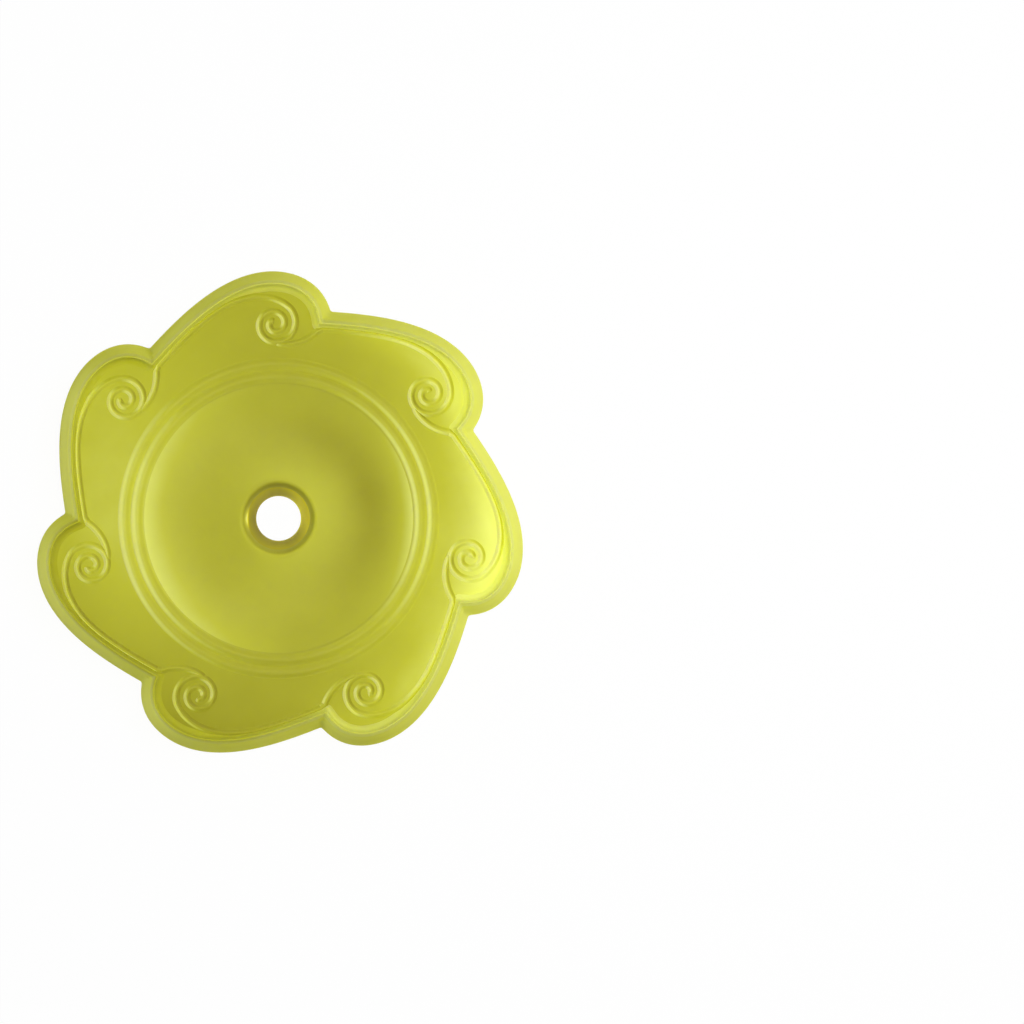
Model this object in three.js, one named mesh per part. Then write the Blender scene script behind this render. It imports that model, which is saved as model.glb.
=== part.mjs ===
// Fondant plaque cutter: a shallow moulded shell with seven scroll petals. It has a cutting
// blade round its edge, embossing ridges on its face, a shallow dish inside two ring ridges
// and a funnel hole in the middle. Millimetres, +Z up. It lies on the flange round its back,
// with the working face up.
import * as THREE from 'three';

// Petal outline: the line that the cutting blade follows, clockwise from notch to notch
const PETALS = 7;
const CROWN_RADIUS = 49.75;
const NOTCH_DEPTH = 7.55;       // from the crowns in to the notches
const FIRST_NOTCH = 26.7;       // degrees from +X
const CROWN_LEAD = 37.6;        // degrees clockwise from a notch to its petal's crown
const TAIL_RISE = 8;            // degrees outward at which the tail leaves its notch
const HEAD_FALL = 73.6;         // degrees inward at which the head meets the next notch
const TAIL_PULL = 8.45;         // reach of the curve's handles: tail, shoulder, crown, head
const SHOULDER_PULL = 10.1;
const CROWN_PULL = 4;
const HEAD_PULL = 6.9;

// Shell, with distances taken square to the blade line
const FLANGE_REACH = 2.8;
const FLANGE_LAP = 2.5;
const FLANGE_THICKNESS = 1.8;
const FLANGE_LEDGE = 0.2;       // left clear round the skirt's foot
const SKIRT_REACH = 0.8;        // at the face, from which the skirt leans out to its foot
const SKIRT_WALL = 2;
const SKIRT_HEIGHT = 4.8;
const PLATE_THICKNESS = 2.2;

// Cutting blade, whose outer side goes on from the skirt
const BLADE_HEIGHT = 4.2;
const BLADE_FOOT = 0.45;        // inside the blade line
const BLADE_TIP = 0.3;

// Dish inside the rings, the seat under the plate that carries it, and the funnel hole. The
// dish is lowest along a circle, and rises a little from there to the funnel's lip.
const DISH_MARGIN = 1.5;        // from the inner ring in to the edge of the dish
const DISH_RUN = 11.8;          // from the edge of the dish in to its lowest circle
const DISH_DEPTH = 2.4;
const LIP_RISE = 0.5;
const FLOOR_WALL = 1.8;
const SEAT_LAP = 3;
const SEAT_THICKNESS = 1.2;
const JOINT_GAP = 0.3;
const FUNNEL_RADIUS = 7.65;
const BORE_RADIUS = 4.6;
const COLLAR_RADIUS = 9.2;

// Embossing ridges
const RIDGE_HEIGHT = 1.2;
const RIDGE_FOOT = 0.9;
const RIDGE_CREST = 0.3;
const RING_CLEARANCE = 4.3;     // from the coils in to the outer ring
const RING_PITCH = 2.7;
const RING_FOOT = 1.9;
const RING_CREST = 0.5;

// Scroll ridge: it follows the tail, then winds clockwise into the petal's eye
const SCROLL_INSET = 1.15;      // inside the blade line
const EYE_DEPTH = 7.95;         // from the crowns in to the eyes
const EYE_LEAD = 38.1;          // degrees clockwise from a notch to its petal's eye
const COIL_OUTER = 4.75;
const COIL_INNER = 0.7;
const COIL_START = 45;          // degrees round the eye, clockwise from its outward side
const COIL_SWEEP = 675;
const COIL_EASE = 1.15;
const BRIDGE_PULL = 10;         // reach of the handles between the tail and the coil
const COIL_PULL = 5;

// Tongue ridge: from the next notch, in under the coil
const TONGUE_INSET = 1.6;
const TONGUE_DIP = 51;          // degrees inward at which it leaves the notch
const TONGUE_END = 168;         // degrees round the eye, clockwise from its outward side
const TONGUE_CLOSE = 28;        // degrees at which its tip closes on the coil
const TONGUE_PULL = 3;

// Fineness of the curves
const TAIL_STEPS = 15;
const NOTCH_CROWDING = 0.5;
const HEAD_STEPS = 10;
const FINE_STEPS = 240;
const SCROLL_TAIL_STEPS = 9;
const BRIDGE_STEPS = 8;
const COIL_STEPS = 32;
const TONGUE_STEPS = 8;
const DISH_STEPS = 12;
const ROUND_STEPS = 56;

// Radii from the crowns in, so that the ornament stays inside the blade line
const NOTCH_RADIUS = CROWN_RADIUS - NOTCH_DEPTH;
const EYE_RADIUS = CROWN_RADIUS - EYE_DEPTH;
const OUTER_RING_RADIUS = EYE_RADIUS - COIL_OUTER - RING_CLEARANCE;
const INNER_RING_RADIUS = OUTER_RING_RADIUS - RING_PITCH;
const DISH_RADIUS = INNER_RING_RADIUS - DISH_MARGIN;
const LOW_RADIUS = DISH_RADIUS - DISH_RUN;

// Heights of the faces that pieces share
const SKIRT_TOP = FLANGE_THICKNESS + SKIRT_HEIGHT;
const FACE = SKIRT_TOP + PLATE_THICKNESS;
const FLOOR_BACK = FACE - DISH_DEPTH - FLOOR_WALL;

const PITCH = (2 * Math.PI) / PETALS;
const NOTCH = THREE.MathUtils.degToRad(FIRST_NOTCH);
const degrees = THREE.MathUtils.degToRad;

const body = new THREE.MeshStandardMaterial({ color: 0xc6c640, roughness: 0.45, metalness: 0 });
const polished = new THREE.MeshStandardMaterial({ color: 0xb4a836, roughness: 0.15, metalness: 0 });

// A point at a radius and angle about the axis
function polar(radius, angle) {
  return new THREE.Vector2(radius * Math.cos(angle), radius * Math.sin(angle));
}

// A point some way from another, headed clockwise round the axis and tilted outward
function headed(from, angle, tilt, distance) {
  return polar(distance, angle - Math.PI / 2 + tilt).add(from);
}

// The two curves of the first petal, from its notch to the crown and on to the next notch
function petalCurves() {
  const crown = NOTCH - degrees(CROWN_LEAD);
  const nextNotch = NOTCH - PITCH;
  const start = polar(NOTCH_RADIUS, NOTCH);
  const top = polar(CROWN_RADIUS, crown);
  const end = polar(NOTCH_RADIUS, nextNotch);
  const tail = new THREE.CubicBezierCurve(
    start,
    headed(start, NOTCH, degrees(TAIL_RISE), TAIL_PULL),
    headed(top, crown, 0, -SHOULDER_PULL),
    top,
  );
  const head = new THREE.CubicBezierCurve(
    top,
    headed(top, crown, 0, CROWN_PULL),
    headed(end, nextNotch, -degrees(HEAD_FALL), -HEAD_PULL),
    end,
  );
  return [tail, head];
}

// Rays from the axis through points of the first petal, closer together near the notch
function petalRays([tail, head]) {
  const tailRays = Array.from({ length: TAIL_STEPS }, (_, i) => {
    const share = i / TAIL_STEPS;
    return tail.getPoint(share * (1 - NOTCH_CROWDING * (1 - share))).angle();
  });
  const headRays = head.getPoints(HEAD_STEPS).slice(0, -1).map((point) => point.angle());
  return [...tailRays, ...headRays].map((angle) => (angle > NOTCH + PITCH ? angle - 2 * Math.PI : angle));
}

// Each petal's copy of a point of the first one
function turned(point, petal) {
  return point.clone().rotateAround(new THREE.Vector2(), -petal * PITCH);
}

const CURVES = petalCurves();
const RAYS = petalRays(CURVES);
const NEAR_PETALS = [-1, 0, 1];
const FINE_LINE = NEAR_PETALS.flatMap((petal) => CURVES.flatMap(
  (curve) => curve.getPoints(FINE_STEPS).map((point) => turned(point, petal)),
));

// The first petal of the blade line, grown outward or shrunk inward by a distance
function petalOutline(distance) {
  const side = Math.sign(distance);
  return RAYS.map((angle) => {
    const ray = polar(1, angle);
    const reaches = FINE_LINE
      .filter((point) => Math.abs(point.cross(ray)) < Math.abs(distance))
      .map((point) => point.dot(ray) + side * Math.sqrt(distance ** 2 - point.cross(ray) ** 2));
    return polar(side > 0 ? Math.max(...reaches) : Math.min(...reaches), angle);
  });
}

// A first petal repeated round the axis, as one anticlockwise loop
function allRound(petal) {
  const loop = Array.from({ length: PETALS }, (_, k) => petal.map((point) => turned(point, k))).flat();
  return loop.reverse();
}

const outline = (distance) => allRound(petalOutline(distance));
const circle = (radius) => allRound(RAYS.map((angle) => polar(radius, angle)));

// A solid through a row of sections, each a loop of points. A row that doesn't close on
// itself has a flat cap at both ends.
function sweep(sections, closes) {
  const sides = sections[0].length;
  const index = [];
  const spans = closes ? sections.length : sections.length - 1;
  for (let i = 0; i < spans; i += 1) {
    const here = i * sides;
    const there = ((i + 1) % sections.length) * sides;
    for (let j = 0; j < sides; j += 1) {
      const next = (j + 1) % sides;
      index.push(here + j, there + j, there + next);
      index.push(here + j, there + next, here + next);
    }
  }
  if (!closes) {
    const last = (sections.length - 1) * sides;
    for (let j = 1; j < sides - 1; j += 1) {
      index.push(0, j, j + 1);
      index.push(last, last + j + 1, last + j);
    }
  }
  const geometry = new THREE.BufferGeometry().setFromPoints(sections.flat());
  geometry.setIndex(index);
  geometry.computeVertexNormals();
  return geometry;
}

// A piece that runs round the part: corners of its section as [loop, height], from the
// outer foot up, in and down
function ringPiece(corners) {
  const sections = corners[0][0].map((_, i) => corners.map(
    ([loop, height]) => new THREE.Vector3(loop[i].x, loop[i].y, height),
  ));
  return sweep(sections, true);
}

// A ridge with sloping flanks that stands on the face along a path
function ridge(path) {
  const sections = path.map((point, i) => {
    const before = path[Math.max(i - 1, 0)];
    const after = path[Math.min(i + 1, path.length - 1)];
    const right = after.clone().sub(before).normalize().rotateAround(new THREE.Vector2(), -Math.PI / 2);
    const corner = (aside, height) => new THREE.Vector3(
      point.x + right.x * aside,
      point.y + right.y * aside,
      height,
    );
    return [
      corner(RIDGE_FOOT / 2, FACE),
      corner(RIDGE_CREST / 2, FACE + RIDGE_HEIGHT),
      corner(-RIDGE_CREST / 2, FACE + RIDGE_HEIGHT),
      corner(-RIDGE_FOOT / 2, FACE),
    ];
  });
  return sweep(sections, false);
}

// A round piece from a closed profile of [radius, height] points, from the outer foot up
function roundPiece(profile) {
  const points = [...profile, profile[0]].map(([radius, height]) => new THREE.Vector2(radius, height));
  return new THREE.LatheGeometry(points, ROUND_STEPS).rotateX(Math.PI / 2);
}

// Dish: a shallow round trough, whose height at a radius is
function dishHeight(radius) {
  const low = FACE - DISH_DEPTH;
  if (radius > LOW_RADIUS) {
    return low + DISH_DEPTH * ((radius - LOW_RADIUS) / DISH_RUN) ** 2;
  }
  return low + LIP_RISE * ((LOW_RADIUS - radius) / (LOW_RADIUS - FUNNEL_RADIUS)) ** 2;
}

// Funnel: a cone from the dish's surface to the bore at the back, whose radius at a height is
function funnelRadius(height) {
  return BORE_RADIUS + (FUNNEL_RADIUS - BORE_RADIUS) * (height / dishHeight(FUNNEL_RADIUS));
}

function backFlange() {
  const outer = outline(FLANGE_REACH);
  const inner = outline(-FLANGE_LAP);
  return ringPiece([[outer, 0], [outer, FLANGE_THICKNESS], [inner, FLANGE_THICKNESS], [inner, 0]]);
}

// The skirt's leaning outer side, which the plate's edge carries on, and whose reach at a height is
function skirtReach(height) {
  const draft = FLANGE_REACH - FLANGE_LEDGE - SKIRT_REACH;
  return SKIRT_REACH + (draft * (FACE - height)) / (FACE - FLANGE_THICKNESS);
}

function outerSkirt() {
  const foot = skirtReach(FLANGE_THICKNESS);
  const top = skirtReach(SKIRT_TOP);
  return ringPiece([
    [outline(foot), FLANGE_THICKNESS],
    [outline(top), SKIRT_TOP],
    [outline(top - SKIRT_WALL), SKIRT_TOP],
    [outline(foot - SKIRT_WALL), FLANGE_THICKNESS],
  ]);
}

function petalPlate() {
  const foot = outline(skirtReach(SKIRT_TOP));
  const edge = outline(SKIRT_REACH);
  const inner = circle(DISH_RADIUS + JOINT_GAP);
  return ringPiece([[foot, SKIRT_TOP], [edge, FACE], [inner, FACE], [inner, SKIRT_TOP]]);
}

function cuttingBlade() {
  const tip = FACE + BLADE_HEIGHT;
  return ringPiece([
    [outline(SKIRT_REACH), FACE],
    [outline(BLADE_TIP / 2), tip],
    [outline(-BLADE_TIP / 2), tip],
    [outline(-BLADE_FOOT), FACE],
  ]);
}

function centreDish() {
  const front = Array.from({ length: DISH_STEPS + 1 }, (_, i) => {
    const radius = DISH_RADIUS + (FUNNEL_RADIUS - DISH_RADIUS) * (i / DISH_STEPS);
    return [radius, dishHeight(radius)];
  });
  return roundPiece([
    [DISH_RADIUS + SEAT_LAP, SKIRT_TOP - SEAT_THICKNESS],
    [DISH_RADIUS + SEAT_LAP, SKIRT_TOP],
    [DISH_RADIUS, SKIRT_TOP],
    ...front,
    [funnelRadius(FLOOR_BACK), FLOOR_BACK],
    [COLLAR_RADIUS, FLOOR_BACK],
    [DISH_RADIUS - SEAT_LAP, SKIRT_TOP - SEAT_THICKNESS],
  ]);
}

function hubCollar() {
  return roundPiece([
    [COLLAR_RADIUS, 0],
    [COLLAR_RADIUS, FLOOR_BACK],
    [funnelRadius(FLOOR_BACK), FLOOR_BACK],
    [BORE_RADIUS, 0],
  ]);
}

function ringRidge(radius) {
  return roundPiece([
    [radius + RING_FOOT / 2, FACE],
    [radius + RING_CREST / 2, FACE + RIDGE_HEIGHT],
    [radius - RING_CREST / 2, FACE + RIDGE_HEIGHT],
    [radius - RING_FOOT / 2, FACE],
  ]);
}

const EYE_ANGLE = NOTCH - degrees(EYE_LEAD);
const EYE = polar(EYE_RADIUS, EYE_ANGLE);

// A point of the coil, or some way outside it, at an angle round the eye in degrees
function coilPoint(turn, outside = 0) {
  const left = 1 - (turn - COIL_START) / COIL_SWEEP;
  const radius = COIL_INNER + (COIL_OUTER - COIL_INNER) * left ** COIL_EASE;
  return polar(radius + outside, EYE_ANGLE - degrees(turn)).add(EYE);
}

function scrollPath() {
  const tail = petalOutline(-SCROLL_INSET).slice(1, SCROLL_TAIL_STEPS + 1);
  const leave = tail[tail.length - 1];
  const heading = leave.clone().sub(tail[tail.length - 2]).normalize();
  const arrive = coilPoint(COIL_START);
  const bridge = new THREE.CubicBezierCurve(
    leave,
    leave.clone().addScaledVector(heading, BRIDGE_PULL),
    headed(arrive, EYE_ANGLE - degrees(COIL_START), 0, -COIL_PULL),
    arrive,
  );
  const coil = Array.from(
    { length: COIL_STEPS },
    (_, i) => coilPoint(COIL_START + (COIL_SWEEP * (i + 1)) / COIL_STEPS),
  );
  return [...tail, ...bridge.getPoints(BRIDGE_STEPS).slice(1), ...coil];
}

// The tongue stops clear of the coil's flank by the joint gap
function tonguePath() {
  const nextNotch = NOTCH - PITCH;
  const start = polar(NOTCH_RADIUS - TONGUE_INSET, nextNotch);
  const tip = coilPoint(TONGUE_END, RIDGE_FOOT + JOINT_GAP);
  const curve = new THREE.CubicBezierCurve(
    start,
    headed(start, nextNotch, degrees(TONGUE_DIP), -TONGUE_PULL),
    headed(tip, EYE_ANGLE - degrees(TONGUE_END), -degrees(TONGUE_CLOSE), -TONGUE_PULL),
    tip,
  );
  return curve.getPoints(TONGUE_STEPS);
}

// All pieces stand about the axis of the funnel hole
const moulding = new THREE.Group();

function addPiece(name, geometry, material) {
  const mesh = new THREE.Mesh(geometry, material);
  mesh.name = name;
  moulding.add(mesh);
}

addPiece('back_flange', backFlange(), body);
addPiece('outer_skirt', outerSkirt(), body);
addPiece('petal_plate', petalPlate(), body);
addPiece('centre_dish', centreDish(), body);
addPiece('hub_collar', hubCollar(), polished);
addPiece('cutting_blade', cuttingBlade(), body);
addPiece('inner_ring_ridge', ringRidge(INNER_RING_RADIUS), body);
addPiece('outer_ring_ridge', ringRidge(OUTER_RING_RADIUS), body);
for (let petal = 0; petal < PETALS; petal += 1) {
  addPiece(`scroll_ridge_${petal + 1}`, ridge(scrollPath().map((point) => turned(point, petal))), body);
  addPiece(`tongue_ridge_${petal + 1}`, ridge(tonguePath().map((point) => turned(point, petal))), body);
}

// The origin is the middle of the flange's outline, on the face that the cutter lies on
const middle = new THREE.Box2().setFromPoints(outline(FLANGE_REACH)).getCenter(new THREE.Vector2());
moulding.position.set(-middle.x, -middle.y, 0);

const cutter = new THREE.Group();
cutter.add(moulding);

export default cutter;
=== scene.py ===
# Fondant plaque cutter in frosted translucent lime plastic, lying face up on a white table.
# Sizes are in millimetres as on a drawing, and meshes are made in metres.
import math

import bpy
import numpy as np
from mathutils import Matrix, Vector


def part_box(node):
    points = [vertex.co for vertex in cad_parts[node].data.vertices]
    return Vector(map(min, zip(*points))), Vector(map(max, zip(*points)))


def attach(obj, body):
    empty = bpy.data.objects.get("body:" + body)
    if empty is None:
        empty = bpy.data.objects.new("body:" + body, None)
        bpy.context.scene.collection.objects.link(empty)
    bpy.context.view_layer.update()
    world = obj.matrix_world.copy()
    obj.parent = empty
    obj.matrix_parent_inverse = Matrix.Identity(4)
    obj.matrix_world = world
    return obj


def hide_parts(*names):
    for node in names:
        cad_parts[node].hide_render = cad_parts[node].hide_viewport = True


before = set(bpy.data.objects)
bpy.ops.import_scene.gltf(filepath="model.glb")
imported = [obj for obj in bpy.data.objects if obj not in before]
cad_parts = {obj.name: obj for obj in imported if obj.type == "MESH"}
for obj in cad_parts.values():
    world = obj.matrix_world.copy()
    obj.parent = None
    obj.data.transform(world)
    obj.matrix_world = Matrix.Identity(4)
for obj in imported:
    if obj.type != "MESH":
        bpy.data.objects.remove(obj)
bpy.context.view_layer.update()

MM = 0.001
HUB_LOW, HUB_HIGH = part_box("hub_collar")
AXIS = (np.array(HUB_LOW) + np.array(HUB_HIGH)) / 2 / MM

# Petal outline: the line that the cutting blade follows, clockwise from notch to notch
PETALS = 7
PITCH = 2 * math.pi / PETALS
CROWN_RADIUS = 49.75
NOTCH_RADIUS = 42.2
NOTCH = math.radians(26.7)
CROWN = NOTCH - math.radians(37.6)
NEXT_NOTCH = NOTCH - PITCH
TAIL_RISE = math.radians(8)
HEAD_FALL = math.radians(73.6)
TAIL_PULL, SHOULDER_PULL, CROWN_PULL, HEAD_PULL = 8.45, 10.1, 4, 6.9
NOTCH_SOFTNESS = 0.7

# Shell, with distances taken square to the blade line
FLANGE_REACH = 2.78
FLANGE_LAP = 2.5
FLANGE_TOP = 1.8
FLANGE_LEDGE = 0.18
FLANGE_FOOT_ROUND, FLANGE_SIDE_ROUND, FLANGE_INNER_ROUND = 0.5, 0.6, 0.3
SKIRT_REACH = 0.8
SKIRT_WALL = 2
SKIRT_TOP = 6.6
FACE = 8.8
PLATE_INSET = 1.2
PLATE_SHARES = (0.15, 0.35, 0.6, 0.85, 1.0)
BLADE_TOP = 13.0
BLADE_FOOT = 0.45
BLADE_COVE = 1.6
BLADE_TIP = 0.3
BLADE_TIP_ROUND = 0.12

# Dish and funnel hole
DISH_RADIUS = 28.55
DISH_RUN = 11.8
DISH_DEPTH = 2.4
DISH_ROLL = 0.15
DISH_GAP = 0.01
PLATE_HOLE = 28.85
SEAT_LAP = 3
SEAT_BACK = 5.4
SEAT_CORNER_ROUND, SEAT_EDGE_ROUND = 1.5, 0.3
FLOOR_BACK = 4.6
LIP_RISE = 0.5
LIP_RUN = 1.2
LIP_ROUND = 0.8
FUNNEL_RADIUS = 7.65
BORE_RADIUS = 4.6
BORE_ROUND = 0.25
COLLAR_RADIUS = 9.2
COLLAR_ROUND = 0.3
LOW_RADIUS = DISH_RADIUS - DISH_RUN

# Embossing ridges
RIDGE_HEIGHT = 0.75
RIDGE_FLARE = 0.95
RING_FLARE = 1.55
RINGS = {"inner_ring_ridge": 30.05, "outer_ring_ridge": 32.75}
SCROLL_INSET = 1.15
SCROLL_START, SCROLL_LEAVE = 1 / 15, 9 / 15
EYE_RADIUS = 41.2
EYE_ANGLE = NOTCH - math.radians(38.4)
COIL_OUTER = 4.75
COIL_INNER = 0.7
COIL_START = 45
COIL_SWEEP = 675
COIL_EASE = 1.15
BRIDGE_PULL, COIL_PULL = 10, 5
TONGUE_INSET = 1.6
TONGUE_DIP = math.radians(58)
TONGUE_END = 184
TONGUE_CLOSE = math.radians(18)
TONGUE_PULL, TIP_PULL = 4.2, 3
RIDGE_LAP = 0.5
RIDGE_END_WIDTH = 0.35
RIDGE_END_HEIGHT = 0.01
SCROLL_FADES = (0.3, 0.7)
TONGUE_FADES = (0.3, 2.2)
SINK = 0.05

# Fineness
TAIL_STEPS = 52
HEAD_STEPS = 34
FINE_STEPS = 400
ROUND_STEPS = 224
ARC_STEPS = 5
DISH_STEPS = 44
RIDGE_STEPS = 17
LEAD_STEPS, SCROLL_STEPS, BRIDGE_STEPS, COIL_STEPS, TONGUE_STEPS = 9, 40, 28, 130, 30
CROWDING = 0.5
SHARP_EDGE = math.radians(38)
FAR = 1e3
SLACK = 1e-6
# Smallest distance from the blade line that is worked out by itself
LEAST = 0.15


# Plan curves
def polar(radius, angle):
    return np.stack([radius * np.cos(angle), radius * np.sin(angle)], axis=-1)


def headed(start, angle, tilt, distance):
    """A point some way from another, headed clockwise round the axis and tilted outward."""
    return start + polar(distance, angle - math.pi / 2 + tilt)


def bezier(points, share):
    a, b, c, d = points
    s = np.asarray(share)[:, None]
    return a * (1 - s) ** 3 + 3 * b * s * (1 - s) ** 2 + 3 * c * s**2 * (1 - s) + d * s**3


def turned(points, petal):
    """Each petal's copy of points of the first one."""
    c, s = math.cos(-petal * PITCH), math.sin(-petal * PITCH)
    return points @ np.array([[c, s], [-s, c]])


def toward(points, angle):
    """How far points lie on one side of the axis: 1 straight that way, and 0 square to it and beyond."""
    return np.clip(points @ polar(1, angle) / np.linalg.norm(points, axis=-1), 0, 1)


START = polar(NOTCH_RADIUS, NOTCH)
TOP = polar(CROWN_RADIUS, CROWN)
END = polar(NOTCH_RADIUS, NEXT_NOTCH)
TAIL = (START, headed(START, NOTCH, TAIL_RISE, TAIL_PULL), headed(TOP, CROWN, 0, -SHOULDER_PULL), TOP)
HEAD = (TOP, headed(TOP, CROWN, 0, CROWN_PULL), headed(END, NEXT_NOTCH, -HEAD_FALL, -HEAD_PULL), END)
FINE = np.linspace(0, 1, FINE_STEPS)
PETAL_LINE = np.concatenate([bezier(TAIL, FINE), bezier(HEAD, FINE)])
TURNS = np.linspace(0, 2 * math.pi, ROUND_STEPS, endpoint=False)


def angles(points):
    """Angles round the axis, falling from the first notch on."""
    found = np.arctan2(points[:, 1], points[:, 0])
    return np.where(found > NOTCH + SLACK, found - 2 * math.pi, found)


def crowded(share):
    """Shares of a curve that lie closer together near its start."""
    return share * (1 - CROWDING * (1 - share))


TAIL_SHARES = crowded(np.arange(TAIL_STEPS) / TAIL_STEPS)
HEAD_SHARES = 1 - crowded(1 - np.arange(HEAD_STEPS) / HEAD_STEPS)
RAYS = np.concatenate([angles(bezier(TAIL, TAIL_SHARES)), angles(bezier(HEAD, HEAD_SHARES))])


def reach(petal, rays, distance):
    """How far from the axis one petal's line, grown or shrunk by a distance, meets each ray."""
    line = turned(PETAL_LINE, petal)
    along = polar(1, rays) @ line.T
    across = polar(1, rays + math.pi / 2) @ line.T
    inside = np.abs(across) < abs(distance)
    depth = np.sqrt(np.clip(distance**2 - across**2, 0, None))
    if distance > 0:
        return np.where(inside, along + depth, -FAR).max(axis=1)
    return np.where(inside, along - depth, FAR).min(axis=1)


def soft_max(a, b, softness):
    """The greater of two values, rounded off where they come close."""
    near = np.clip(softness - np.abs(a - b), 0, None) / softness
    return np.maximum(a, b) + near**2 * softness / 4


def petal_radii(rays, distance):
    """The radius of the grown or shrunk blade line on each ray, with a soft inside corner."""
    before, own, after = (reach(petal, rays, distance) for petal in (-1, 0, 1))
    if distance > 0:
        return soft_max(own, np.maximum(before, after), NOTCH_SOFTNESS)
    return np.minimum(own, np.minimum(before, after))


def all_round(radii):
    """First-petal radii repeated round the axis, as one anticlockwise loop of points."""
    petal = polar(radii, RAYS)
    return np.concatenate([turned(petal, k) for k in range(PETALS)])[::-1]


def outline(distance):
    """The blade line, grown or shrunk by a distance."""
    if abs(distance) < LEAST:
        share = (distance + LEAST) / (2 * LEAST)
        return all_round(petal_radii(RAYS, -LEAST) * (1 - share) + petal_radii(RAYS, LEAST) * share)
    return all_round(petal_radii(RAYS, distance))


def circle(radius):
    return all_round(np.full(len(RAYS), float(radius)))


# Profiles
def rounded(corners, closes=True):
    """A profile of (across, height, radius) corners, with an arc of that radius at each."""
    points = []
    count = len(corners)
    for i, (x, y, radius) in enumerate(corners):
        here = np.array([x, y])
        if radius == 0 or (not closes and i in (0, count - 1)):
            points.append(here)
            continue
        back = np.array(corners[i - 1][:2]) - here
        ahead = np.array(corners[(i + 1) % count][:2]) - here
        back /= np.linalg.norm(back)
        ahead /= np.linalg.norm(ahead)
        half = math.acos(np.clip(back @ ahead, -1, 1)) / 2
        middle = (back + ahead) / np.linalg.norm(back + ahead)
        centre = here + middle * radius / math.sin(half)
        first = here + back * radius / math.tan(half) - centre
        last = here + ahead * radius / math.tan(half) - centre
        sweep = math.pi - 2 * half
        for step in range(ARC_STEPS + 1):
            t = step / ARC_STEPS
            arc = (first * math.sin((1 - t) * sweep) + last * math.sin(t * sweep)) / math.sin(sweep)
            points.append(centre + arc)
    return np.array(points)


def ridge_profile(flare):
    """A rounded ridge across its path, from its right foot over the crest to its left foot."""
    across = np.linspace(flare, -flare, RIDGE_STEPS)
    height = RIDGE_HEIGHT * np.cos(across / flare * math.pi / 2) ** 2
    return across, height


# Meshes
def grid_faces(rows, columns, close_rows, close_columns):
    """Four-sided faces between rows of points, which may close from the last to the first."""
    faces = []
    for i in range(rows if close_rows else rows - 1):
        for j in range(columns if close_columns else columns - 1):
            a = i * columns + j
            b = i * columns + (j + 1) % columns
            c = ((i + 1) % rows) * columns + (j + 1) % columns
            d = ((i + 1) % rows) * columns + j
            faces.append((a, b, c, d))
    return faces


def add_piece(name, points, faces, painted_shading_and_tone, material):
    """A smooth piece in the place of the node of that name, about the cutter's axis."""
    points = np.asarray(points, dtype=float) + np.array([AXIS[0], AXIS[1], 0])
    mesh = bpy.data.meshes.new(name)
    mesh.from_pydata((points * MM).tolist(), [], faces)
    # Painted shading and tone for each point, which the material turns into colour
    values = mesh.attributes.new("painted_shading_and_tone", "FLOAT", "POINT")
    values.data.foreach_set("value", np.asarray(painted_shading_and_tone, dtype=np.float32))
    mesh.validate()
    mesh.shade_smooth()
    mesh.set_sharp_from_angle(angle=SHARP_EDGE)
    mesh.materials.append(material)
    piece = bpy.data.objects.new("visual_" + name, mesh)
    bpy.context.scene.collection.objects.link(piece)
    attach(piece, "root")
    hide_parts(name)
    return piece


def ring_piece(name, rows, painted_shading_and_tone, material):
    """A piece that runs round the part, through rows of (loop, height) with a painted shading and tone
    value for each point.
    """
    count = len(rows[0][0])
    points = np.concatenate([np.column_stack([loop, np.full(count, height)]) for loop, height in rows])
    faces = grid_faces(len(rows), count, True, True)
    return add_piece(name, points, faces, np.ravel(painted_shading_and_tone), material)


def round_piece(name, profile, painted_shading_and_tone, material):
    """A turned piece from a closed profile of radii and heights."""
    rows = [(polar(radius, TURNS), height) for radius, height in profile]
    return ring_piece(name, rows, painted_shading_and_tone, material)


# Materials
CLOUD_SCALE, CLOUD_DETAIL = 110, 3
CLOUD_DRIFT = 0.12
GRAIN_SCALE, GRAIN_DETAIL = 5200, 2
FROST_STRENGTH = 0.12
FROST_DEPTH = 0.04
SATIN_SPREAD = 0.06
PLASTIC_IOR = 1.3
SCATTER_SHARES = (1.0, 1.0, 0.25)
SHADOW_COLOUR = (0.97, 0.97, 0.55, 1)
SHADOW_CLEARNESS = 0.92
# Faces that look this way get painted glow and faces that look the opposite way painted dusk, standing in
# for light run through the plastic from the right
PAINTED_GLOW_SIDE = (*polar(1, math.radians(197)), 0)


def math_node(nodes, links, operation, first, second):
    """The sum, product, least or greatest of two values, each a socket or a number."""
    node = nodes.new("ShaderNodeMath")
    node.operation = operation
    for socket, value in zip(node.inputs, (first, second)):
        if isinstance(value, (int, float)):
            socket.default_value = value
        else:
            links.new(value, socket)
    return node.outputs["Value"]


def noise_node(nodes, links, place, scale, detail):
    node = nodes.new("ShaderNodeTexNoise")
    node.inputs["Scale"].default_value = scale
    node.inputs["Detail"].default_value = detail
    links.new(place, node.inputs["Vector"])
    return node.outputs["Fac"]


def range_node(nodes, links, value, low, high):
    """A value from 0 to 1 spread over a range."""
    node = nodes.new("ShaderNodeMapRange")
    node.inputs["To Min"].default_value = low
    node.inputs["To Max"].default_value = high
    links.new(value, node.inputs["Value"])
    return node.outputs["Result"]


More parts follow.
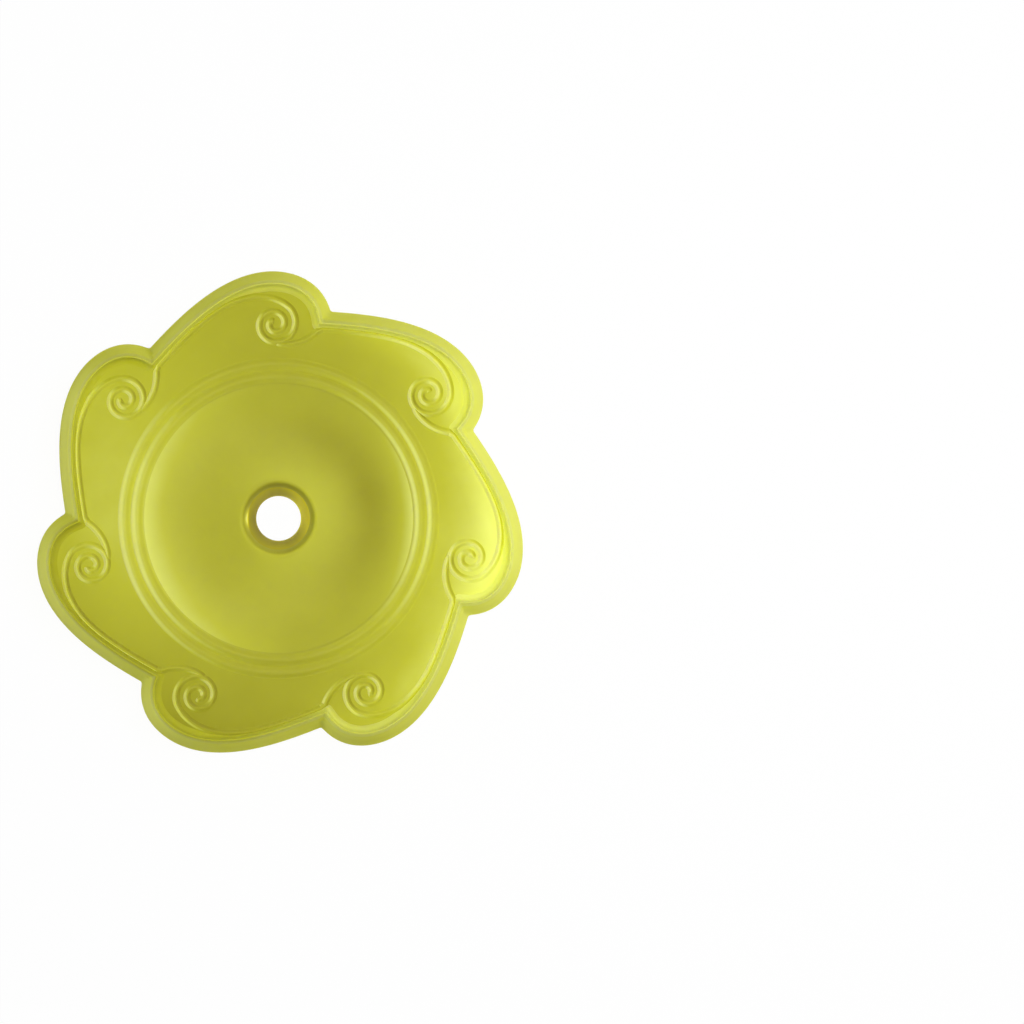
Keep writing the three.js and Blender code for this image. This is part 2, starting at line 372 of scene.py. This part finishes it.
def lime_colour(nodes, links, shades, clouds, painted_glow, painted_dusk):
    """The plastic's colour, from painted glow through plain to painted shade.

    It follows each point's own painted shading and tone and faint random clouds. Faces that look left get
    painted glow, and ones that look right get painted dusk.
    """
    # Painted glow on faces that look left and painted dusk on faces that look right
    facing = nodes.new("ShaderNodeVectorMath")
    facing.operation = "DOT_PRODUCT"
    facing.inputs[1].default_value = PAINTED_GLOW_SIDE
    links.new(nodes.new("ShaderNodeNewGeometry").outputs["Normal"], facing.inputs[0])
    painted_glow_share = math_node(nodes, links, "MAXIMUM", facing.outputs["Value"], 0.0)
    painted_dusk_share = math_node(nodes, links, "MINIMUM", facing.outputs["Value"], 0.0)
    painted_glow_share = math_node(nodes, links, "MULTIPLY", painted_glow_share, painted_glow_share)
    painted_dusk_share = math_node(nodes, links, "MULTIPLY", painted_dusk_share, painted_dusk_share)
    own = nodes.new("ShaderNodeAttribute")
    own.attribute_name = "painted_shading_and_tone"
    drift = range_node(nodes, links, clouds, -CLOUD_DRIFT, CLOUD_DRIFT)
    painted_shading_and_tone = math_node(nodes, links, "ADD", own.outputs["Fac"], drift)
    painted_shading_and_tone = math_node(nodes, links, "ADD", painted_shading_and_tone, math_node(nodes, links, "MULTIPLY", painted_glow_share, -painted_glow))
    painted_shading_and_tone = math_node(nodes, links, "ADD", painted_shading_and_tone, math_node(nodes, links, "MULTIPLY", painted_dusk_share, painted_dusk))
    spread = nodes.new("ShaderNodeMapRange")
    spread.inputs["From Min"].default_value = -1
    links.new(painted_shading_and_tone, spread.inputs["Value"])
    ramp = nodes.new("ShaderNodeValToRGB")
    ramp.color_ramp.elements[0].color = (*shades["painted_glow"], 1)
    ramp.color_ramp.elements[1].color = (*shades["painted_shade"], 1)
    ramp.color_ramp.elements.new(0.5).color = (*shades["body"], 1)
    links.new(spread.outputs["Result"], ramp.inputs["Fac"])
    return ramp.outputs["Color"]


def mixed(nodes, links, first, second):
    """Two shaders mixed, and the socket for the second one's share."""
    node = nodes.new("ShaderNodeMixShader")
    links.new(first, node.inputs[1])
    links.new(second, node.inputs[2])
    return node.outputs["Shader"], node.inputs["Fac"]


def frosted_plastic(name, shades, roughness, depth, gloss, painted_glow=0.0, painted_dusk=0.0, sheer=0.0, brushed=0.0):
    """Frosted see-through plastic: light scatters in it to a depth, and its shadow is pale and yellow.

    Thin walls are sheer, so light comes through them, and turned faces are brushed round the axis.
    """
    material = bpy.data.materials.new(name)
    material.use_nodes = True
    nodes, links = material.node_tree.nodes, material.node_tree.links
    shader = nodes["Principled BSDF"]
    place = nodes.new("ShaderNodeTexCoord").outputs["Object"]
    clouds = noise_node(nodes, links, place, CLOUD_SCALE, CLOUD_DETAIL)
    # The base colour carries painted light and shade: each point's painted shading, and painted glow or
    # dusk by the way a face looks
    colour = lime_colour(nodes, links, shades, clouds, painted_glow, painted_dusk)
    links.new(colour, shader.inputs["Base Color"])

    frost = nodes.new("ShaderNodeBump")
    frost.inputs["Strength"].default_value = FROST_STRENGTH
    frost.inputs["Distance"].default_value = FROST_DEPTH * MM
    links.new(noise_node(nodes, links, place, GRAIN_SCALE, GRAIN_DETAIL), frost.inputs["Height"])
    links.new(frost.outputs["Normal"], shader.inputs["Normal"])
    satin = range_node(nodes, links, clouds, roughness - SATIN_SPREAD, roughness + SATIN_SPREAD)
    links.new(satin, shader.inputs["Roughness"])
    shader.inputs["IOR"].default_value = PLASTIC_IOR
    shader.inputs["Specular IOR Level"].default_value = gloss
    shader.inputs["Subsurface Weight"].default_value = 1.0
    shader.inputs["Subsurface Radius"].default_value = SCATTER_SHARES
    shader.inputs["Subsurface Scale"].default_value = depth * MM
    if brushed:
        shader.inputs["Anisotropic"].default_value = brushed
        around = nodes.new("ShaderNodeTangent")
        around.direction_type = "RADIAL"
        around.axis = "Z"
        links.new(around.outputs["Tangent"], shader.inputs["Tangent"])

    surface = shader.outputs["BSDF"]
    if sheer:
        thin = nodes.new("ShaderNodeBsdfTranslucent")
        links.new(colour, thin.inputs["Color"])
        surface, share = mixed(nodes, links, surface, thin.outputs["BSDF"])
        share.default_value = sheer
    through = nodes.new("ShaderNodeBsdfTransparent")
    through.inputs["Color"].default_value = SHADOW_COLOUR
    surface, share = mixed(nodes, links, surface, through.outputs["BSDF"])
    shadow = nodes.new("ShaderNodeLightPath").outputs["Is Shadow Ray"]
    links.new(math_node(nodes, links, "MULTIPLY", shadow, SHADOW_CLEARNESS), share)
    links.new(surface, nodes["Material Output"].inputs["Surface"])
    return material


# Shades from painted glow through the plain colour to painted shade. The materials below are copies of
# one plastic that differ partly in the strength of painted glow and dusk.
LIME = {"painted_glow": (0.91, 0.95, 0.28), "body": (0.565, 0.567, 0.053), "painted_shade": (0.33, 0.31, 0.024)}
WALL_LIME = {"painted_glow": (0.91, 0.95, 0.17), "body": (0.565, 0.567, 0.045), "painted_shade": LIME["painted_shade"]}
HUB_LIME = {"painted_glow": (0.85, 0.78, 0.03), "body": (0.47, 0.42, 0.012), "painted_shade": (0.24, 0.2, 0.006)}
BODY = frosted_plastic("frosted_lime", LIME, roughness=0.5, depth=2.5, gloss=0.02, painted_glow=0.7)
WALL = frosted_plastic("frosted_lime_wall", WALL_LIME, roughness=0.5, depth=2.5, gloss=0.02, painted_glow=0.7)
BLADE = frosted_plastic(
    "frosted_lime_blade", LIME, roughness=0.5, depth=1.5, gloss=0.07, painted_glow=0.5, sheer=0.25
)
RIDGE = frosted_plastic(
    "frosted_lime_ridge", LIME, roughness=0.5, depth=0.6, gloss=0.2, painted_glow=4.0, painted_dusk=1.6
)
RING = frosted_plastic(
    "frosted_lime_ring", LIME, roughness=0.5, depth=0.6, gloss=0.2, painted_glow=3.0, painted_dusk=0.7
)
DISH = frosted_plastic("frosted_lime_turned", LIME, roughness=0.45, depth=2.5, gloss=0.15, brushed=0.6)
HUB = frosted_plastic(
    "polished_lime", HUB_LIME, roughness=0.16, depth=2.5, gloss=0.05, painted_glow=1.6, painted_dusk=0.6
)

# Painted shading and tone, from -1 for painted light through 0 for the plain colour to 1 for painted
# shade
# The side that painted light comes from, the axis of painted shade across the face, and the corner that
# is painted darker
PAINTED_LIGHT_SIDE = math.radians(7)
SHADED_AXIS = math.radians(80)
PAINTED_SHADE_CORNER = math.radians(225)
WALL_PLAIN, WALL_LIGHT = -0.16, 0.4
FACE_SHADE = 0.46
FACE_LIGHT, FACE_LIGHT_MOST = 1.8, 0.75
FACE_LEFT_LIGHT = 0.2
CORNER_SHADE = 0.5
BLADE_INSIDE_PLAIN, BLADE_INSIDE_LIGHT = 0.2, 1.2
BLADE_OUTSIDE_PLAIN, BLADE_OUTSIDE_LIGHT = -0.1, 0.5
DISH_PLAIN = 0.36
DISH_LEFT_LIGHT = 0.9
DISH_RIGHT_LIGHT = 1.0
DISH_SHADE, DISH_SHADE_RADIUS, DISH_SHADE_SPREAD = 0.4, 19.5, 4.5
DISH_SHADE_SIDE = PAINTED_LIGHT_SIDE + math.radians(13)
LIP_LIGHT, LIP_LIGHT_RADIUS, LIP_LIGHT_SPREAD = 0.25, 8, 5
MOUTH_SHADE_START, MOUTH_RIGHT_LIGHT, MOUTH_FAR_SHADE = 0.3, 0.9, 0.3
# The painted glint at the seam, and painted shade low in the bore
SEAM_PAINTED_GLINT, SEAM_PAINTED_GLINT_FOOT, SEAM_PAINTED_GLINT_NARROWING = 2.2, 3.9, 30
BORE_SHADE, BORE_SHADE_TOP = 0.6, 0.4


def wall_painted_light(loop):
    """Painted light: the outer wall is lighter on the right."""
    return WALL_PLAIN - WALL_LIGHT * toward(loop, PAINTED_LIGHT_SIDE) ** 2


def face_painted_shading(points):
    """Painted light and shade: the face is lighter outward on the right, a little on the left, and darker
    between them and out toward the lower left.
    """
    radius = np.linalg.norm(points, axis=-1)
    outward = np.clip((radius - DISH_RADIUS) / (CROWN_RADIUS - DISH_RADIUS), 0, 1)
    between = points @ polar(1, SHADED_AXIS) / radius
    light = np.minimum(FACE_LIGHT * outward**3, FACE_LIGHT_MOST) * toward(points, PAINTED_LIGHT_SIDE)
    light += FACE_LEFT_LIGHT * toward(points, PAINTED_LIGHT_SIDE + math.pi) ** 2
    corner = CORNER_SHADE * outward**2 * toward(points, PAINTED_SHADE_CORNER) ** 2
    return FACE_SHADE * between**2 - light + corner


def painted_seam_glint():
    """A painted glint on the left, along the seam of the dish and the collar."""
    return SEAM_PAINTED_GLINT * toward(polar(1, TURNS), math.pi) ** SEAM_PAINTED_GLINT_NARROWING


# Shell
def skirt_reach(height):
    """The leaning outer side that the skirt, the plate's edge and the blade share."""
    draft = FLANGE_REACH - FLANGE_LEDGE - SKIRT_REACH
    return SKIRT_REACH + draft * (FACE - height) / (FACE - FLANGE_TOP)


def wall_piece(name, profile):
    """A piece of the outer wall, from a profile of distances from the blade line and heights."""
    # The wall's painted light, the same at every height
    painted_shading_and_tone = np.tile(wall_painted_light(outline(0)), (len(profile), 1))
    ring_piece(name, [(outline(d), z) for d, z in profile], painted_shading_and_tone, WALL)


def back_flange():
    wall_piece("back_flange", rounded([
        (FLANGE_REACH, 0, FLANGE_FOOT_ROUND), (FLANGE_REACH, FLANGE_TOP / 2, FLANGE_SIDE_ROUND),
        (FLANGE_REACH - FLANGE_LEDGE, FLANGE_TOP, 0),
        (-FLANGE_LAP, FLANGE_TOP, FLANGE_INNER_ROUND), (-FLANGE_LAP, 0, FLANGE_INNER_ROUND),
    ]))


def outer_skirt():
    low, high = skirt_reach(FLANGE_TOP), skirt_reach(SKIRT_TOP)
    wall_piece("outer_skirt", [
        (low, FLANGE_TOP), (high, SKIRT_TOP),
        (high - SKIRT_WALL, SKIRT_TOP), (low - SKIRT_WALL, FLANGE_TOP),
    ])


def petal_plate():
    edge = [(outline(skirt_reach(SKIRT_TOP)), SKIRT_TOP), (outline(SKIRT_REACH), FACE)]
    face = [(outline(-PLATE_INSET), FACE)]
    outer = petal_radii(RAYS, -PLATE_INSET)
    for share in PLATE_SHARES:
        face.append((all_round(outer + (PLATE_HOLE - outer) * share), FACE))
    face.append((circle(PLATE_HOLE), SKIRT_TOP))
    # Painted light on the plate's edge, and painted light and shade on its face
    painted_shading_and_tone = [wall_painted_light(loop) for loop, height in edge] + [face_painted_shading(loop) for loop, height in face]
    plate = ring_piece("petal_plate", edge + face, painted_shading_and_tone, BODY)
    plate.data.materials.append(WALL)
    for edge_face in plate.data.polygons[:len(edge[0][0])]:
        edge_face.material_index = 1


def cutting_blade():
    tip = BLADE_TIP / 2
    foot = FACE - SINK
    profile = rounded([
        (SKIRT_REACH, foot, 0), (tip, BLADE_TOP, BLADE_TIP_ROUND), (-tip, BLADE_TOP, BLADE_TIP_ROUND),
        (-BLADE_FOOT, foot, BLADE_COVE), (-BLADE_FOOT - BLADE_COVE, foot, 0),
    ])
    loop = outline(0)
    # Painted light and shade: the inside is darker on the left and lighter on the right, the outside a
    # little lighter on the right, and both darker toward the lower left
    right = 0.5 + 0.5 * loop[:, 0] / np.linalg.norm(loop, axis=1)
    corner = CORNER_SHADE * toward(loop, PAINTED_SHADE_CORNER) ** 2
    inside = corner + (BLADE_INSIDE_PLAIN - BLADE_INSIDE_LIGHT * right)
    outside = corner + (BLADE_OUTSIDE_PLAIN - BLADE_OUTSIDE_LIGHT * right)
    painted_shading_and_tone = [inside if d < -tip else outside for d, z in profile]
    painted_shading_and_tone[0] = wall_painted_light(loop)
    ring_piece("cutting_blade", [(outline(d), z) for d, z in profile], painted_shading_and_tone, BLADE)


# Dish and hub
def dish_height(radius):
    """A round trough that rises a little to the funnel's lip and rolls over into the face."""
    radius = np.asarray(radius, dtype=float)
    wall = DISH_DEPTH * ((radius - LOW_RADIUS) / DISH_RUN) ** 2
    middle = LIP_RISE * ((LOW_RADIUS - radius) / (LOW_RADIUS - FUNNEL_RADIUS)) ** 2
    trough = FACE - DISH_DEPTH + np.where(radius > LOW_RADIUS, wall, middle)
    return -soft_max(-trough, np.full_like(trough, -FACE), DISH_ROLL)


LIP_HEIGHT = float(dish_height(FUNNEL_RADIUS))


def funnel_radius(height):
    return BORE_RADIUS + (FUNNEL_RADIUS - BORE_RADIUS) * height / LIP_HEIGHT


def band(radii, middle, spread):
    """A soft band of radii: 1 at its middle, and fading on both sides."""
    return np.exp(-((radii - middle) / spread) ** 2)


def dish_painted_shading(radii):
    """Painted light and shade: the dish is a little darker than plain overall, lighter up its left wall
    and at the top of its right one, which is darker lower down, and lighter round the lip away from the
    left.
    """
    sides = polar(1, TURNS)
    left, right = toward(sides, PAINTED_LIGHT_SIDE + math.pi), toward(sides, DISH_SHADE_SIDE)
    up_wall = np.clip((radii - LOW_RADIUS) / DISH_RUN, 0, 1)
    shade = band(radii, DISH_SHADE_RADIUS, DISH_SHADE_SPREAD)
    light = band(radii, LIP_LIGHT_RADIUS, LIP_LIGHT_SPREAD)
    painted_shading_and_tone = DISH_PLAIN - DISH_LEFT_LIGHT * np.outer(up_wall**2, left)
    painted_shading_and_tone -= DISH_RIGHT_LIGHT * np.outer(up_wall**4, toward(sides, 0) ** 4)
    return painted_shading_and_tone + DISH_SHADE * np.outer(shade, right) - LIP_LIGHT * np.outer(light, 1 - left)


def mouth_painted_shading(count):
    """Painted shade: the funnel's mouth darkens row by row, least on the right and most on the far side,
    and its last row takes the painted glint.
    """
    sides = polar(1, TURNS)
    painted_shade_rows = np.linspace(MOUTH_SHADE_START, 1, count)
    around = 1 - MOUTH_RIGHT_LIGHT * toward(sides, DISH_SHADE_SIDE) + MOUTH_FAR_SHADE * sides[:, 1]
    painted_shading_and_tone = np.outer(painted_shade_rows, around)
    painted_shading_and_tone[-1] -= painted_seam_glint()
    return painted_shading_and_tone


def centre_dish():
    rim = PLATE_HOLE - DISH_GAP
    lip_start = FUNNEL_RADIUS + LIP_RUN
    seam = (funnel_radius(FLOOR_BACK), FLOOR_BACK, 0)
    front = np.linspace(rim, lip_start, DISH_STEPS)
    bowl = np.column_stack([front, dish_height(front)])
    mouth = rounded([
        (lip_start, float(dish_height(lip_start)), 0), (FUNNEL_RADIUS, LIP_HEIGHT, LIP_ROUND), seam,
    ], closes=False)[1:]
    back = rounded([
        seam, (COLLAR_RADIUS, FLOOR_BACK, 0),
        (DISH_RADIUS - SEAT_LAP, SEAT_BACK, SEAT_CORNER_ROUND),
        (DISH_RADIUS + SEAT_LAP, SEAT_BACK, SEAT_EDGE_ROUND),
        (DISH_RADIUS + SEAT_LAP, SKIRT_TOP, 0), (rim, SKIRT_TOP, 0),
    ], closes=False)[1:]
    profile = np.concatenate([bowl, mouth, back])
    # Painted light and shade for the bowl, the mouth and the back
    painted_shading_and_tone = np.concatenate([dish_painted_shading(bowl[:, 0]), mouth_painted_shading(len(mouth)), dish_painted_shading(back[:, 0])])
    round_piece("centre_dish", profile[::-1], painted_shading_and_tone[::-1], DISH)


def hub_collar():
    profile = rounded([
        (COLLAR_RADIUS, 0, COLLAR_ROUND), (COLLAR_RADIUS, FLOOR_BACK, 0),
        (funnel_radius(FLOOR_BACK), FLOOR_BACK, 0),
        (funnel_radius(SEAM_PAINTED_GLINT_FOOT), SEAM_PAINTED_GLINT_FOOT, 0), (BORE_RADIUS, 0, BORE_ROUND),
    ])
    heights = profile[:, 1]
    # Painted shade low in the bore, and the painted glint on the left at the top of the funnel wall
    painted_shading_and_tone = np.tile(np.where(heights < BORE_SHADE_TOP, BORE_SHADE, 0.0)[:, None], ROUND_STEPS)
    painted_shading_and_tone[heights == FLOOR_BACK] -= painted_seam_glint()
    round_piece("hub_collar", profile, painted_shading_and_tone, HUB)


# Ridges
def ring_ridge(name, radius):
    across, height = ridge_profile(RING_FLARE)
    profile = np.column_stack([radius + across, FACE + height - SINK])
    # The ring takes the face's painted light and shade under its crest
    painted_shading_and_tone = np.tile(face_painted_shading(polar(radius, TURNS)), (len(profile), 1))
    round_piece(name, profile, painted_shading_and_tone, RING)


def ridge_piece(name, path, fades):
    """A ridge along a path, whose height and width die away over a length at its ends."""
    steps = np.linalg.norm(np.diff(path, axis=0), axis=1)
    along = np.concatenate([[0], np.cumsum(steps)])
    fade_in = np.clip(along / fades[0], 0, 1)
    fade_out = np.clip((along[-1] - along) / fades[1], 0, 1)
    size = np.sqrt(np.clip(1 - (1 - np.minimum(fade_in, fade_out)) ** 2, RIDGE_END_HEIGHT**2, 1))
    heading = np.gradient(path, axis=0)
    heading /= np.linalg.norm(heading, axis=1)[:, None]
    right = np.column_stack([heading[:, 1], -heading[:, 0]])
    across, height = ridge_profile(RIDGE_FLARE)
    points = []
    for place, side, scale in zip(path, right, size):
        width = RIDGE_END_WIDTH + (1 - RIDGE_END_WIDTH) * scale
        plan = place + np.outer(across * width, side)
        points.append(np.column_stack([plan, FACE - SINK + height * scale]))
    columns = len(across)
    faces = grid_faces(len(path), columns, False, True)
    faces.append(tuple(range(columns))[::-1])
    last = (len(path) - 1) * columns
    faces.append(tuple(range(last, last + columns)))
    faces = [face[::-1] for face in faces]
    points = np.concatenate(points)
    # The ridge takes the face's painted light and shade where it lies
    add_piece(name, points, faces, face_painted_shading(points[:, :2]), RIDGE)


EYE = polar(EYE_RADIUS, EYE_ANGLE)


def coil_points(turn):
    """Points of the coil after a turn in degrees, clockwise round the eye and ever closer to it."""
    turn = np.asarray(turn, dtype=float)
    left = np.clip(1 - (turn - COIL_START) / COIL_SWEEP, 0, None)
    radius = COIL_INNER + (COIL_OUTER - COIL_INNER) * left**COIL_EASE
    return EYE + polar(radius, EYE_ANGLE - np.radians(turn))


def scroll_path():
    """From the notch along the petal's tail, over a bridge and into the coil."""
    rays = angles(bezier(TAIL, crowded(np.linspace(SCROLL_START, SCROLL_LEAVE, SCROLL_STEPS))))
    tail = polar(petal_radii(rays, -SCROLL_INSET), rays)
    meeting = polar(NOTCH_RADIUS - TONGUE_INSET, NOTCH)
    meeting = meeting - RIDGE_LAP * (tail[0] - meeting) / np.linalg.norm(tail[0] - meeting)
    lead = meeting + np.outer(np.linspace(0, 1, LEAD_STEPS)[:-1], tail[0] - meeting)
    leave, arrive = tail[-1], coil_points(COIL_START)
    heading = (tail[-1] - tail[-4]) / np.linalg.norm(tail[-1] - tail[-4])
    bridge = (
        leave, leave + heading * BRIDGE_PULL,
        headed(arrive, EYE_ANGLE - math.radians(COIL_START), 0, -COIL_PULL), arrive,
    )
    coil = coil_points(COIL_START + COIL_SWEEP * np.linspace(0, 1, COIL_STEPS)[1:])
    return np.concatenate([lead, tail, bezier(bridge, np.linspace(0, 1, BRIDGE_STEPS)[1:]), coil])


def tongue_path():
    """From the next notch in under the coil."""
    start = headed(polar(NOTCH_RADIUS - TONGUE_INSET, NEXT_NOTCH), NEXT_NOTCH, TONGUE_DIP, RIDGE_LAP)
    tip = coil_points(TONGUE_END)
    curve = (
        start, headed(start, NEXT_NOTCH, TONGUE_DIP, -TONGUE_PULL),
        headed(tip, EYE_ANGLE - math.radians(TONGUE_END), -TONGUE_CLOSE, -TIP_PULL), tip,
    )
    return bezier(curve, np.linspace(0, 1, TONGUE_STEPS))


back_flange()
outer_skirt()
petal_plate()
cutting_blade()
centre_dish()
hub_collar()
for ring_name, ring_radius in RINGS.items():
    ring_ridge(ring_name, ring_radius)
for petal in range(PETALS):
    ridge_piece(f"scroll_ridge_{petal + 1}", turned(scroll_path(), petal), SCROLL_FADES)
    ridge_piece(f"tongue_ridge_{petal + 1}", turned(tongue_path(), petal), TONGUE_FADES)

# Table, which like the lamps and the camera is placed in metres
TABLE_REACH = 3.0
TABLE_DROP = 0.0002
TABLE_COLOUR = (0.9, 0.9, 0.9, 1)
TABLE_ROUGHNESS = 0.9
TABLE_WHITENESS = 0.96


def straight_rays(nodes, links):
    """1 for rays from the camera, from a gloss or through clear plastic, and 0 for the rest."""
    rays = nodes.new("ShaderNodeLightPath").outputs
    mirrored = math_node(nodes, links, "MAXIMUM", rays["Is Glossy Ray"], rays["Is Transmission Ray"])
    return math_node(nodes, links, "MAXIMUM", rays["Is Camera Ray"], mirrored)


def table_material():
    """White to the eye, and it still takes the cutter's shadow."""
    material = bpy.data.materials.new("white_table")
    material.use_nodes = True
    nodes, links = material.node_tree.nodes, material.node_tree.links
    matt = nodes["Principled BSDF"]
    matt.inputs["Base Color"].default_value = TABLE_COLOUR
    matt.inputs["Roughness"].default_value = TABLE_ROUGHNESS
    white = nodes.new("ShaderNodeEmission")
    surface, share = mixed(nodes, links, matt.outputs["BSDF"], white.outputs["Emission"])
    links.new(math_node(nodes, links, "MULTIPLY", straight_rays(nodes, links), TABLE_WHITENESS), share)
    links.new(surface, nodes["Material Output"].inputs["Surface"])
    return material


table_mesh = bpy.data.meshes.new("table")
table_corners = [(-1, -1), (1, -1), (1, 1), (-1, 1)]
table_mesh.from_pydata(
    [(x * TABLE_REACH, y * TABLE_REACH, -TABLE_DROP) for x, y in table_corners], [], [(0, 1, 2, 3)]
)
table_mesh.materials.append(table_material())
table = bpy.data.objects.new("table", table_mesh)
bpy.context.scene.collection.objects.link(table)

# Light: a soft lamp close by on the right, a faint one low on the left, and a pale room
KEY_LAMP = {"place": (0.16, 0.04, 0.40), "side": 0.25, "power": 1.5}
FILL_LAMP = {"place": (-0.25, 0.06, 0.14), "side": 0.15, "power": 0.08}
ROOM_COLOUR = (1, 1, 1, 1)
ROOM_LEVEL = 0.25


def area_lamp(name, place, side, power):
    """A round lamp that looks at the middle of the table."""
    data = bpy.data.lights.new(name, "AREA")
    data.shape = "DISK"
    data.size = side
    data.energy = power
    lamp = bpy.data.objects.new(name, data)
    lamp.location = place
    lamp.rotation_euler = (-Vector(place)).to_track_quat("-Z", "Y").to_euler()
    lamp.visible_camera = False
    bpy.context.scene.collection.objects.link(lamp)


area_lamp("key_lamp", **KEY_LAMP)
area_lamp("fill_lamp", **FILL_LAMP)

world = bpy.data.worlds.new("room")
world.use_nodes = True
room, room_links = world.node_tree.nodes, world.node_tree.links
level = math_node(room, room_links, "MAXIMUM", straight_rays(room, room_links), ROOM_LEVEL)
room_links.new(level, room["Background"].inputs["Strength"])
room["Background"].inputs["Color"].default_value = ROOM_COLOUR
bpy.context.scene.world = world
bpy.context.scene.view_settings.view_transform = "Standard"

# Camera: square above the funnel hole, with the picture's middle shifted to the right of the cutter
PICTURE = 1024
PIXEL = 0.2125 * MM
HOLE_PIXEL = (278.6, 518.4)
DISTANCE = 3.0
SENSOR = 36
VIEW_END = 20
camera_data = bpy.data.cameras.new("camera")
camera_data.sensor_width = SENSOR
camera_data.lens = SENSOR * DISTANCE / (PICTURE * PIXEL)
camera_data.shift_x = 0.5 - HOLE_PIXEL[0] / PICTURE
camera_data.shift_y = HOLE_PIXEL[1] / PICTURE - 0.5
camera_data.clip_end = VIEW_END
camera = bpy.data.objects.new("camera", camera_data)
camera.location = (AXIS[0] * MM, AXIS[1] * MM, DISTANCE)
bpy.context.scene.collection.objects.link(camera)
bpy.context.scene.camera = camera
